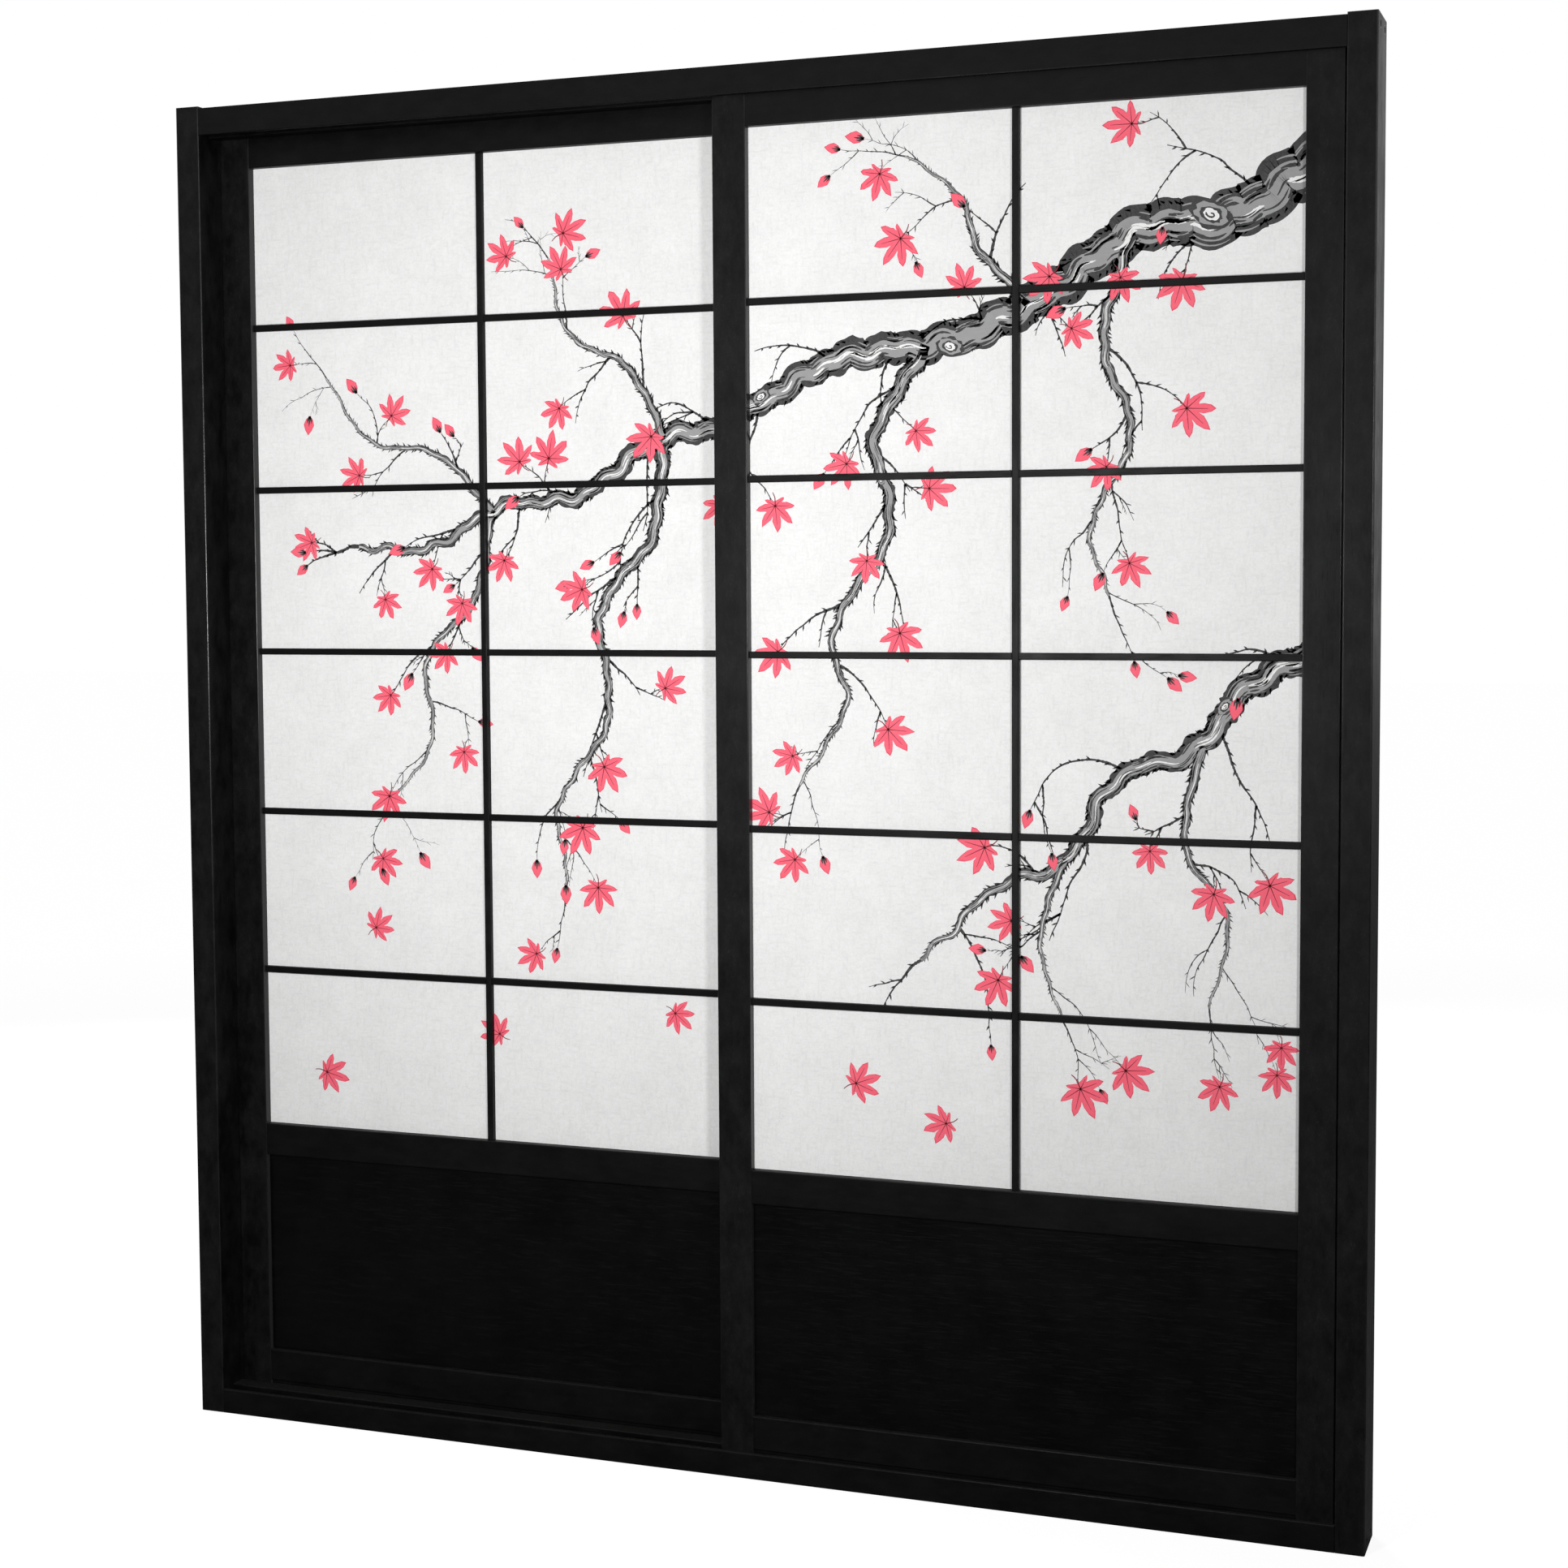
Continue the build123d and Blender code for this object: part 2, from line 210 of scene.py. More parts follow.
def calculate(tree, operation, first, second=0.0, clamp=False):
    return add_node(
        tree, "ShaderNodeMath", {0: first, 1: second}, operation=operation, use_clamp=clamp
    ).outputs[0]


def remap(tree, value, low, high, to_low=0.0, to_high=1.0):
    return add_node(
        tree, "ShaderNodeMapRange",
        {"Value": value, "From Min": low, "From Max": high, "To Min": to_low, "To Max": to_high},
    ).outputs["Result"]


def noise(tree, vector, scale, detail=2.0, roughness=0.5):
    return add_node(
        tree, "ShaderNodeTexNoise",
        {"Vector": vector, "Scale": scale, "Detail": detail, "Roughness": roughness},
    ).outputs["Fac"]


def combine(tree, operation, *vectors):
    """A vector worked out from one or two others."""
    return add_node(
        tree, "ShaderNodeVectorMath", dict(enumerate(vectors)), operation=operation
    ).outputs["Vector"]


def weigh(tree, *parts):
    """The sum of some values, each given with its weight."""
    total, *others = [calculate(tree, "MULTIPLY", value, weight) for value, weight in parts]
    for share in others:
        total = calculate(tree, "ADD", total, share)
    return total


def own_place(tree):
    """The place on a piece, in its own metres."""
    return add_node(tree, "ShaderNodeTexCoord").outputs["Object"]


def facing(tree, axis):
    """How far a face looks along an axis, from -1 to 1."""
    normal = add_node(tree, "ShaderNodeNewGeometry").outputs["Normal"]
    return add_node(tree, "ShaderNodeSeparateXYZ", {0: normal}).outputs[axis]


def blend_colours(tree, factor, first, second):
    return add_node(
        tree, "ShaderNodeMix", {0: factor, 6: first, 7: second}, data_type="RGBA"
    ).outputs[2]


def opaque(colour):
    return (*colour, 1.0)


def make_group(name, inputs, outputs):
    """An empty node group, as (tree, inputs, outputs), its inputs named with their defaults."""
    tree = bpy.data.node_groups.new(name, "ShaderNodeTree")
    for label, default in inputs.items():
        kind = "NodeSocketVector" if isinstance(default, tuple) else "NodeSocketFloat"
        socket = tree.interface.new_socket(label, in_out="INPUT", socket_type=kind)
        socket.default_value = default
    for label in outputs:
        kind = "NodeSocketVector" if label == "Normal" else "NodeSocketFloat"
        tree.interface.new_socket(label, in_out="OUTPUT", socket_type=kind)
    return tree, tree.nodes.new("NodeGroupInput").outputs, tree.nodes.new("NodeGroupOutput").inputs


def put_out(tree, result, **values):
    """Link values to a node group's outputs, by their labels."""
    for label, value in values.items():
        tree.links.new(value, result[label])


def place_group(tree, make, inputs=None):
    """The outputs of a node group, placed in a material's tree; the first use makes the group."""
    name = make.__name__
    group = bpy.data.node_groups.get(name) or make(name)
    node = tree.nodes.new("ShaderNodeGroup")
    node.node_tree = group
    for label, value in (inputs or {}).items():
        node.inputs[label].default_value = value
    return node.outputs


# Node groups


def wood_grain(name):
    """Open pores and fine fibres along the piece, under a lacquer that levelled a little."""
    tree, given, result = make_group(
        name,
        {"Stretch": (1.0, 1.0, 1.0), "Pores": 0.5, "Bloom": 1.0},
        ("Height", "Gloss", "Pore", "Haze"),
    )
    place = own_place(tree)
    along = combine(tree, "MULTIPLY", place, given["Stretch"])
    fibres = noise(tree, along, scale=420.0, detail=3.0, roughness=0.6)
    coarse = noise(tree, along, scale=130.0, detail=2.0, roughness=0.5)
    pores = remap(tree, noise(tree, along, scale=620.0, detail=1.0, roughness=0.4), 0.60, 0.68)
    pores = calculate(tree, "MULTIPLY", pores, given["Pores"])
    levelling = noise(tree, place, scale=75.0, detail=1.0, roughness=0.4)
    clouds = noise(tree, place, scale=11.0, detail=3.0, roughness=0.6)
    height = weigh(tree, (fibres, 0.35), (coarse, 0.55), (levelling, 1.1), (pores, -0.5))
    gloss = weigh(tree, (clouds, 0.65), (coarse, 0.35))
    wiped = combine(tree, "ADD", place, along)
    bloom = noise(tree, wiped, scale=21.0, detail=6.0, roughness=0.72)
    bloom = remap(tree, bloom, 0.36, 0.68, 0.0, 0.5)
    specks = noise(tree, wiped, scale=230.0, detail=2.0, roughness=0.6)
    specks = remap(tree, specks, 0.58, 0.68, 0.0, 0.9)
    haze = calculate(tree, "MULTIPLY", weigh(tree, (bloom, 1.0), (specks, bloom)), given["Bloom"])
    put_out(tree, result, Height=height, Gloss=gloss, Pore=pores, Haze=haze)
    return tree


def rubbed_edges(name):
    """Softly rounded edges, and patches where a hand or a cloth has rubbed and polished them."""
    tree, given, result = make_group(
        name, {"Width": 0.001, "Amount": 0.5}, ("Mask", "Polish", "Normal")
    )
    bevel = add_node(tree, "ShaderNodeBevel", {"Radius": given["Width"]}, samples=4)
    rounded = bevel.outputs["Normal"]
    unsigned = combine(tree, "ABSOLUTE", rounded)
    x, y, z = add_node(tree, "ShaderNodeSeparateXYZ", {0: unsigned}).outputs
    squareness = calculate(tree, "MAXIMUM", calculate(tree, "MAXIMUM", x, y), z)
    edge = remap(tree, squareness, 0.985, 0.86)
    patches = noise(tree, own_place(tree), scale=45.0, detail=4.0, roughness=0.7)
    patches = remap(tree, patches, 0.42, 0.62)
    rubbed = calculate(tree, "MULTIPLY", edge, patches)
    mask = calculate(tree, "MULTIPLY", rubbed, given["Amount"])
    polish = calculate(tree, "MULTIPLY", edge, remap(tree, patches, 0.0, 1.0, 0.75, 1.0))
    put_out(tree, result, Mask=mask, Polish=polish, Normal=rounded)
    return tree


def unreached_gaps(name):
    """Narrow gaps that no cloth reaches, where the lacquer stays dull."""
    tree, given, result = make_group(name, {"Reach": 0.006}, ("Mask",))
    openness = add_node(tree, "ShaderNodeAmbientOcclusion", {"Distance": given["Reach"]}, samples=6)
    put_out(tree, result, Mask=remap(tree, openness.outputs["AO"], 0.40, 0.15))
    return tree


def settled_dust(name):
    """Fine dust on faces that look up."""
    tree, given, result = make_group(name, {"Amount": 0.1}, ("Mask",))
    ledge = remap(tree, facing(tree, "Z"), 0.55, 0.95)
    specks = noise(tree, own_place(tree), scale=260.0, detail=5.0, roughness=0.75)
    mask = calculate(tree, "MULTIPLY", ledge, remap(tree, specks, 0.35, 0.75))
    put_out(tree, result, Mask=calculate(tree, "MULTIPLY", mask, given["Amount"]))
    return tree


def paper_fibres(name):
    """Cloudy pulp with fine tooth and long curved fibres, alike in the ink and the bare sheet."""
    tree, given, result = make_group(name, {"Mottle": 0.1}, ("Shade", "Fibre", "Height"))
    place = own_place(tree)
    clouds = noise(tree, place, scale=16.0, detail=5.0, roughness=0.62)
    tooth = noise(tree, place, scale=270.0, detail=4.0, roughness=0.8)
    crossed = noise(tree, combine(tree, "MULTIPLY", place, (0.25, 1.0, 1.0)), scale=240.0)
    upright = noise(tree, combine(tree, "MULTIPLY", place, (1.0, 1.0, 0.25)), scale=260.0)
    threads = remap(tree, calculate(tree, "MAXIMUM", crossed, upright), 0.50, 0.72)
    winding = noise(tree, place, scale=38.0, detail=1.5, roughness=0.4)
    off_line = calculate(tree, "ABSOLUTE", calculate(tree, "SUBTRACT", winding, 0.5))
    broken = remap(tree, noise(tree, place, scale=60.0, detail=1.0), 0.45, 0.60)
    long_fibres = calculate(tree, "MULTIPLY", remap(tree, off_line, 0.0, 0.006, 1.0, 0.0), broken)
    shade = weigh(tree, (clouds, 0.6), (tooth, 1.0), (threads, 0.22))
    shade = calculate(tree, "MULTIPLY", remap(tree, shade, 0.60, 1.25), given["Mottle"])
    height = weigh(tree, (threads, 0.5), (tooth, 0.3), (long_fibres, 0.6))
    put_out(tree, result, Shade=shade, Fibre=long_fibres, Height=height)
    return tree


# Materials


def new_material(name):
    material = bpy.data.materials.new(name)
    material.use_nodes = True
    tree = material.node_tree
    tree.nodes.clear()
    surface = add_node(tree, "ShaderNodeBsdfPrincipled")
    add_node(tree, "ShaderNodeOutputMaterial", {"Surface": surface.outputs[0]})
    return material, tree, surface.inputs


def add_relief(tree, height, depth, socket, normal=None):
    """Raise a surface by a height, over the given normal where there is one."""
    bump = add_node(tree, "ShaderNodeBump", {"Height": height, "Distance": depth, "Strength": 1.0})
    if normal:
        tree.links.new(normal, bump.inputs["Normal"])
    tree.links.new(bump.outputs["Normal"], socket)


# How the grain is stretched along a piece
ALONG_X = (0.06, 1.0, 1.0)
ALONG_Z = (1.0, 1.0, 0.06)

# Each lacquer: which way its grain runs, how open its pores are, and how cloudy its bloom is. The
# bloom is random cloudiness in the lacquer; the boards get almost none, so they stay darker as
# painted shade at the foot
LACQUERS = {
    "upright": (ALONG_Z, 0.5, 1.0),
    "level": (ALONG_X, 0.5, 0.35),
    "board": (ALONG_X, 0.8, 0.07),
}

# What the roughness gains in the glossiest and dullest clouds, in an open pore and under dust
GLOSSIEST, DULLEST, IN_PORE, UNDER_DUST = -0.06, 0.08, 0.2, 1.5

# How ink takes the paper: how cloudy it is, how far it fades there, and how much relief it leaves
INK_MOTTLE, INK_FADE, INK_RELIEF = 0.5, 0.10, 0.6

# Zinc plating: its lighter and darker spangles, and how deep they are
ZINC_LIGHT, ZINC_DARK, ZINC_RELIEF = (0.62, 0.61, 0.58, 1.0), (0.40, 0.40, 0.39, 1.0), 0.00002


def lacquer(settings, label, handled=False, painted_sheen_side=0):
    """Satin black lacquer on wood whose grain runs along one axis.

    Hands polish the edges of handled pieces. One side of a stile also gets a painted sheen, a paler
    colour with a glossier roughness: the side toward +X (1) or toward -X (-1).
    """
    painted_sheen_name = {0: "", 1: "_wiped_right", -1: "_wiped_left"}[painted_sheen_side]
    name = f"black_lacquer_{label}" + "_handled" * handled + painted_sheen_name
    if name in bpy.data.materials:
        return bpy.data.materials[name]
    material, tree, surface = new_material(name)
    stretch, pores, bloom = LACQUERS[label]
    grain = place_group(tree, wood_grain, {"Stretch": stretch, "Pores": pores, "Bloom": bloom})
    rubbed = place_group(
        tree, rubbed_edges, {"Width": settings.rubbed_width, "Amount": settings.rubbed}
    )
    dust = place_group(tree, settled_dust, {"Amount": settings.dust})["Mask"]
    gap = place_group(tree, unreached_gaps)["Mask"]
    haze = opaque(settings.haze_colour)
    colour = blend_colours(tree, grain["Haze"], opaque(settings.colour), haze)
    rough = getattr(settings, f"roughness_{label}")
    roughness = remap(tree, grain["Gloss"], 0.35, 0.65, rough + GLOSSIEST, rough + DULLEST)
    roughness = weigh(tree, (roughness, 1.0), (grain["Pore"], IN_PORE))
    # Painted sheen: the stile's inner side gets a paler colour and a glossier roughness
    if painted_sheen_side:
        side = remap(tree, facing(tree, "X"), 0.90 * painted_sheen_side, 0.99 * painted_sheen_side)
        colour = blend_colours(tree, side, colour, opaque(settings.side_colour))
        roughness = remap(tree, side, 0.0, 1.0, roughness, settings.roughness_side)
    colour = blend_colours(tree, rubbed["Mask"], colour, opaque(settings.rubbed_colour))
    colour = blend_colours(tree, dust, colour, opaque(settings.dust_colour))
    roughness = remap(tree, rubbed["Polish"], 0.0, 1.0, roughness, settings.roughness_edge)
    roughness = remap(tree, gap, 0.0, 1.0, roughness, settings.roughness_gap)
    dulled = calculate(tree, "MULTIPLY", dust, UNDER_DUST)
    roughness = calculate(tree, "ADD", roughness, dulled, clamp=True)
    tree.links.new(colour, surface["Base Color"])
    tree.links.new(roughness, surface["Roughness"])
    surface["Specular IOR Level"].default_value = settings.specular
    if handled:
        reached = remap(tree, gap, 0.0, 1.0, settings.edge_coat, 0.0)
        coat = calculate(tree, "MULTIPLY", rubbed["Polish"], reached)
        tree.links.new(coat, surface["Coat Weight"])
        surface["Coat Roughness"].default_value = settings.roughness_edge
    add_relief(tree, grain["Height"], settings.grain_depth, surface["Normal"], rubbed["Normal"])
    return material


def rice_paper(settings):
    """Matt paper, shaded where its pulp is cloudy and where long fibres lie."""
    cloud_shade, fibre_cover = 0.55, 0.35
    material, tree, surface = new_material("rice_paper")
    fibres = place_group(tree, paper_fibres, {"Mottle": settings.mottle})
    cloudy = [part * cloud_shade for part in settings.fibre_colour]
    colour = blend_colours(tree, fibres["Shade"], opaque(settings.colour), opaque(cloudy))
    thread = calculate(tree, "MULTIPLY", fibres["Fibre"], fibre_cover)
    colour = blend_colours(tree, thread, colour, opaque(settings.fibre_colour))
    tree.links.new(colour, surface["Base Color"])
    surface["Roughness"].default_value = settings.roughness
    surface["Specular IOR Level"].default_value = 0.2
    add_relief(tree, fibres["Height"], settings.relief, surface["Normal"])
    return material


def ink(name, colour, paper):
    """A screen-printed ink that has sunk into the paper and lets its fibres show."""
    label = f"ink_{name}"
    if label in bpy.data.materials:
        return bpy.data.materials[label]
    material, tree, surface = new_material(label)
    fibres = place_group(tree, paper_fibres, {"Mottle": INK_MOTTLE})
    faded = [part + (1.0 - part) * INK_FADE for part in colour]
    mixed = blend_colours(tree, fibres["Shade"], opaque(colour), opaque(faded))
    tree.links.new(mixed, surface["Base Color"])
    surface["Roughness"].default_value = 0.7
    surface["Specular IOR Level"].default_value = 0.25
    add_relief(tree, fibres["Height"], paper.relief * INK_RELIEF, surface["Normal"])
    return material


def zinc():
    """Zinc plating with a fine spangle."""
    material, tree, surface = new_material("zinc_plated_steel")
    spangle = noise(tree, own_place(tree), scale=900.0, detail=3.0, roughness=0.6)
    colour = blend_colours(tree, spangle, ZINC_LIGHT, ZINC_DARK)
    tree.links.new(colour, surface["Base Color"])
    tree.links.new(remap(tree, spangle, 0.3, 0.7, 0.25, 0.45), surface["Roughness"])
    surface["Metallic"].default_value = 1.0
    add_relief(tree, spangle, ZINC_RELIEF, surface["Normal"])
    return material


def dress(nodes, material):
    """Give solids of the frame their finish."""
    for node in nodes:
        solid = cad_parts[node]
        solid.data.materials.clear()
        solid.data.materials.append(material)


# The printed picture, drawn flat as (x, z) over both papers

# The inks, and the layers that they lie in, from the paper out
INKS = ("charcoal", "bark_grey", "bark_light", "leaf_rim", "leaf", "vein")
BODY, TONE, CRACK, SEAM, LIGHT, SPLIT, KNOT, LEAVES = 1, 2, 3, 4, 5, 6, 7, 12
LAYERS_IN_LEAF = 3
LEAVES_IN_PILE = 3

# Each bough: its width at the start and end in millimetres, the points that it passes, and where
# along it an old branch has left a knot
BOUGHS = {
    "main": (84, 8, [
        (900, 1945), (735, 1850), (600, 1835), (455, 1740), (300, 1690), (150, 1672),
        (20, 1600), (-130, 1570), (-270, 1490), (-420, 1465), (-545, 1405), (-660, 1410),
    ], (0.13, 0.37, 0.55)),
    "low": (46, 6, [
        (900, 1265), (780, 1215), (700, 1120), (590, 1075), (505, 955), (395, 900), (290, 800),
    ], (0.24,)),
    "hanging_1": (20, 4, [(600, 1835), (560, 1690), (600, 1560), (545, 1430), (570, 1330)], ()),
    "hanging_2": (26, 4, [
        (300, 1690), (225, 1560), (245, 1420), (160, 1290), (175, 1170), (105, 1050),
    ], (0.3,)),
    "hanging_3": (24, 4, [
        (-130, 1570), (-150, 1430), (-240, 1300), (-225, 1150), (-310, 1010), (-300, 880),
    ], ()),
    "hanging_4": (16, 3, [
        (-420, 1465), (-455, 1330), (-540, 1230), (-535, 1100), (-610, 1000),
    ], ()),
    "rising_1": (16, 3, [(455, 1740), (385, 1815), (350, 1900), (270, 1960)], ()),
    "rising_2": (15, 3, [(-130, 1570), (-190, 1680), (-290, 1735), (-320, 1850)], ()),
    "rising_3": (13, 3, [(-420, 1465), (-520, 1555), (-640, 1580), (-715, 1680)], ()),
    "low_2": (15, 3, [(700, 1120), (680, 980), (740, 870), (715, 750)], ()),
    "low_3": (12, 3, [(505, 955), (470, 830), (505, 720)], ()),
}

# Leaves that have let go, each with its place in millimetres and its turn in degrees
DRIFTING = [
    (-640, 800, 35), (-420, 640, 150), (-120, 690, -40),
    (190, 610, 20), (-735, 560, -15), (330, 560, 200),
]

# The lobes of a leaf, each with its angle from the middle one in degrees and its length, and the
# notches beside the stalk
LOBES = [(-124, 0.46), (-82, 0.76), (-40, 0.93), (0, 1.0), (40, 0.93), (82, 0.76), (124, 0.46)]
FIRST_NOTCH, LAST_NOTCH = (-165, 0.17), (165, 0.17)

# The outline of a bud, as distances along it and across it
BUD = [
    (0, 0.0), (0.20, 0.20), (0.48, 0.29), (0.76, 0.17),
    (1.0, 0.0), (0.76, -0.19), (0.48, -0.31), (0.20, -0.21),
]

# Steps along a line and along a twig, and half the width that is left at a stroke's point
LINE_STEP = 0.0025
TWIG_STEP = 0.014
POINT = 0.0001

# The waves in a bough, as turns in radians at each point of its line
WAVES = (0.07, 0.17, 0.34)

# From this width in millimetres a bough is thick; for thick and thin boughs, how far apart the
# twigs stand, and how short and how long they are
THICK_BOUGH = 30
TWIGS_ON_THICK = (0.115, 0.09, 0.19)
TWIGS_ON_THIN = (0.085, 0.06, 0.14)

# The most that a bough sways, the bumps of its dark edges and of its grey side, the widest twig,
# and the shortest and longest barb and spur
MOST_SWAY = 0.009
EDGE_BUMP, BARK_BUMP = 0.005, 0.002
WIDEST_TWIG = 0.0046
BARB_LENGTHS = (0.004, 0.010)
SPUR_LENGTHS = (0.0015, 0.0045)

# Widths of the strokes on the bark, as shares of the bough's half width
CRACK_WIDTH, SEAM_WIDTH, SPLIT_WIDTH, LIGHT_WIDTH = 0.14, 0.07, 0.07, 0.16

# The rings of a knot from the outside in, with their sizes, and how flat a knot is
RINGS = (("charcoal", 1.0), ("bark_grey", 0.80), ("charcoal", 0.56), ("bark_light", 0.38))
RING_CORNERS = 22
COIL_POINTS = 12
FLATNESS = 0.64


class Picture:
    """Collects flat shapes, each with its ink and its layer."""

    def __init__(self, settings):
        self.random = random.Random(settings.seed)
        self.leaf_size = settings.leaf_size
        self.shapes = []
        self.leaves = []

    def add(self, ink_name, layer, points, faces):
        self.shapes.append((ink_name, layer, points, faces))

    def blot(self, ink_name, layer, outline):
        """One filled outline."""
        self.add(ink_name, layer, outline, [tuple(range(len(outline)))])

    def ribbon(self, ink_name, layer, line, left, right=None):
        """A strip along a line, with its reach to either side at each point."""
        edges = [], []
        for i, point in enumerate(line):
            across = aside(line, i)
            edges[0].append(point + across * left[i])
            edges[1].append(point - across * (right or left)[i])
        count = len(line)
        faces = [(i, i + 1, count + i + 1, count + i) for i in range(count - 1)]
        self.add(ink_name, layer, edges[0] + edges[1], faces)


def aside(line, i):
    """The direction across a line at one of its points."""
    ahead = line[min(i + 1, len(line) - 1)] - line[max(i - 1, 0)]
    return Vector((-ahead.y, ahead.x)).normalized()


def heading_between(start, end):
    return math.atan2(end.y - start.y, end.x - start.x)


def spot(place, heading, reach):
    """The point at a distance from a place, in a direction."""
    return place + Vector((math.cos(heading), math.sin(heading))) * reach


def smooth_line(points, step=LINE_STEP):
    """Points at about the given step along a curve that passes through all the given ones."""
    ends = [2 * points[0] - points[1], *points, 2 * points[-1] - points[-2]]
    line = []
    for before, start, end, after in zip(ends, ends[1:], ends[2:], ends[3:]):
        count = max(2, round((end - start).length / step))
        second = 2 * before - 5 * start + 4 * end - after
        third = 3 * start - before - 3 * end + after
        for i in range(count):
            t = i / count
            bend = second * t * t + third * t**3
            line.append((2 * start + (end - before) * t + bend) / 2)
    line.append(points[-1])
    return line


def sway(count, size, rng):
    """Slow waves of uneven length, one value for each point of a line."""
    waves = [(rate * rng.uniform(0.8, 1.25), rng.uniform(0, math.tau)) for rate in WAVES]
    return [
        size * sum(math.sin(i * rate + phase) for rate, phase in waves) / len(waves)
        for i in range(count)
    ]


def taper(count, start, end):
    """Values that run from start to end, a little faster at first."""
    return [start + (end - start) * (i / (count - 1)) ** 0.8 for i in range(count)]


def bumps(count, height, rng):
    """Round bumps of uneven length and height, side by side, as bark stands off a bough."""
    rises = []
    while len(rises) < count:
        length, rise = rng.randrange(3, 8), height * rng.uniform(0.15, 1.0)
        rises += [rise * math.sin(math.pi * (k + 0.5) / length) for k in range(length)]
    return rises[:count]


def fork_heading(line, i, low, high, rng):
    """A heading that leaves a line at one of its points, to either side."""
    return heading_between(line[i - 1], line[i + 1]) + rng.choice((-1, 1)) * rng.uniform(low, high)


def draw_point(picture, root, tip, at_root, halfway):
    """A short pointed stroke, with its reach to either side at its root and halfway."""
    picture.ribbon("charcoal", BODY, [root, (root + tip) / 2, tip], [at_root, halfway, POINT])


def find_room(picture, place, size):
    """The layer for a leaf or bud above those that it overlaps, or None where they crowd it."""
    closest = 0.55
    near = [
        ((other - place).length / (size + other_size), rank)
        for other, other_size, rank in picture.leaves
    ]
    rank = max((rank for gap, rank in near if gap < 1), default=-1) + 1
    if rank >= LEAVES_IN_PILE or any(gap < closest for gap, _ in near):
        return None
    picture.leaves.append((place, size, rank))
    return LEAVES + LAYERS_IN_LEAF * rank


def draw_leaf(picture, place, turn, size):
    """A maple leaf of seven pointed lobes with a vein in each, where there is room for one."""
    layer = find_room(picture, place, size)
    if layer is None:
        return
    wobble = picture.random.uniform
    outline = [FIRST_NOTCH]
    for angle, reach in LOBES:
        outline += [(angle - 16, 0.60 * reach), (angle - 8, 0.83 * reach), (angle, reach),
                    (angle + 8, 0.83 * reach), (angle + 16, 0.60 * reach), (angle + 20, 0.40)]
    outline[-1] = LAST_NOTCH

    def at(angle, reach):
        return spot(place, turn + math.radians(angle), reach * size)

    edge = [at(angle + wobble(-1.5, 1.5), reach * wobble(0.97, 1.04)) for angle, reach in outline]
    middle = at(0, 0.12)
    picture.blot("leaf_rim", layer, [middle + (point - middle) * 1.06 for point in edge])
    picture.blot("leaf", layer + 1, edge)
    root = at(0, 0.02)
    for angle, reach in LOBES:
        line = [root, at(angle * 0.97, reach * 0.40), at(angle, reach * 0.76)]
        line = smooth_line(line, size / 5)
        picture.ribbon("vein", layer + 2, line, taper(len(line), size * 0.018, size * 0.006))
    stalk = smooth_line([root, at(176, 0.30), at(186, 0.52)], size / 5)
    picture.ribbon("vein", layer + 2, stalk, taper(len(stalk), size * 0.024, size * 0.014))


def draw_bud(picture, place, turn, size):
    """A folded young leaf in its dark cup, where there is room for one."""
    layer = find_room(picture, spot(place, turn, size * 0.5), size * 0.55)
    if layer is None:
        return
    ahead = Vector((math.cos(turn), math.sin(turn)))
    across = Vector((-ahead.y, ahead.x))
    edge = [place + (ahead * along + across * out) * size for along, out in BUD]
    middle = place + ahead * size * 0.45
    picture.blot("leaf_rim", layer, [middle + (point - middle) * 1.10 for point in edge])
    picture.blot("leaf", layer + 1, edge)
    for angle, reach in ((-0.5, 0.42), (0.0, 0.55), (0.5, 0.42)):
        bend = spot(place, turn + angle, reach * size * 0.6)
        tip = spot(place, turn + angle * 0.6, reach * size)
        sepal = [size * 0.07, size * 0.05, size * 0.01]
        picture.ribbon("charcoal", layer + 2, [place, bend, tip], sepal)


def draw_twig(picture, start, turn, length, width, depth=0):
    """A thin twig that sags, with barbs, side twigs, and leaves at its joints and its end."""
    rng = picture.random
    count = max(4, round(length / TWIG_STEP))
    line, heading, place = [start], turn, start.copy()
    for _ in range(count):
        heading += rng.gauss(0, 0.13) - 0.10 * math.cos(heading)
        place = spot(place, heading, length / count)
        line.append(place)
    fine = smooth_line(line)
    reach = taper(len(fine), width / 2, width / 8)
    picture.ribbon("charcoal", BODY, fine, [half * rng.uniform(0.75, 1.3) for half in reach])
    for i in range(1, len(line) - 1):
        out = fork_heading(line, i, 0.35, 0.8, rng)
        tip = spot(line[i], out, rng.uniform(*BARB_LENGTHS))
        draw_point(picture, line[i], tip, width * 0.16, width * 0.30)
    if depth < 2:
        for _ in range(rng.choice((1, 2) if depth == 0 else (0, 1))):
            i = rng.randrange(1, len(line) - 1)
            out = fork_heading(line, i, 0.5, 1.0, rng)
            side_length = length * rng.uniform(0.4, 0.65)
            draw_twig(picture, line[i], out, side_length, width * 0.7, depth + 1)
    if rng.random() < 0.40:
        out = heading + rng.uniform(-0.5, 0.5)
        draw_leaf(picture, line[-1], out, picture.leaf_size * rng.uniform(0.80, 1.12))
    elif rng.random() < 0.45:
        out = heading + rng.uniform(-0.3, 0.3)
        draw_bud(picture, line[-1], out, picture.leaf_size * rng.uniform(0.55, 0.75))


def draw_stroke(picture, ink_name, layer, line, start, count, out, thick):
    """A stroke along a bough, thick in its middle, at a distance out from the centre line."""
    rng = picture.random
    stop = min(start + count, len(line))
    path = [line[i] + aside(line, i) * out for i in range(start, stop)]
    steps = len(path)
    if steps > 3:
        swell = [thick / 2 * math.sin(math.pi * (k + 0.3) / steps) ** 0.7 for k in range(steps)]
        reach = [half * rng.uniform(0.7, 1.2) + POINT for half in swell]
        picture.ribbon(ink_name, layer, path, reach)


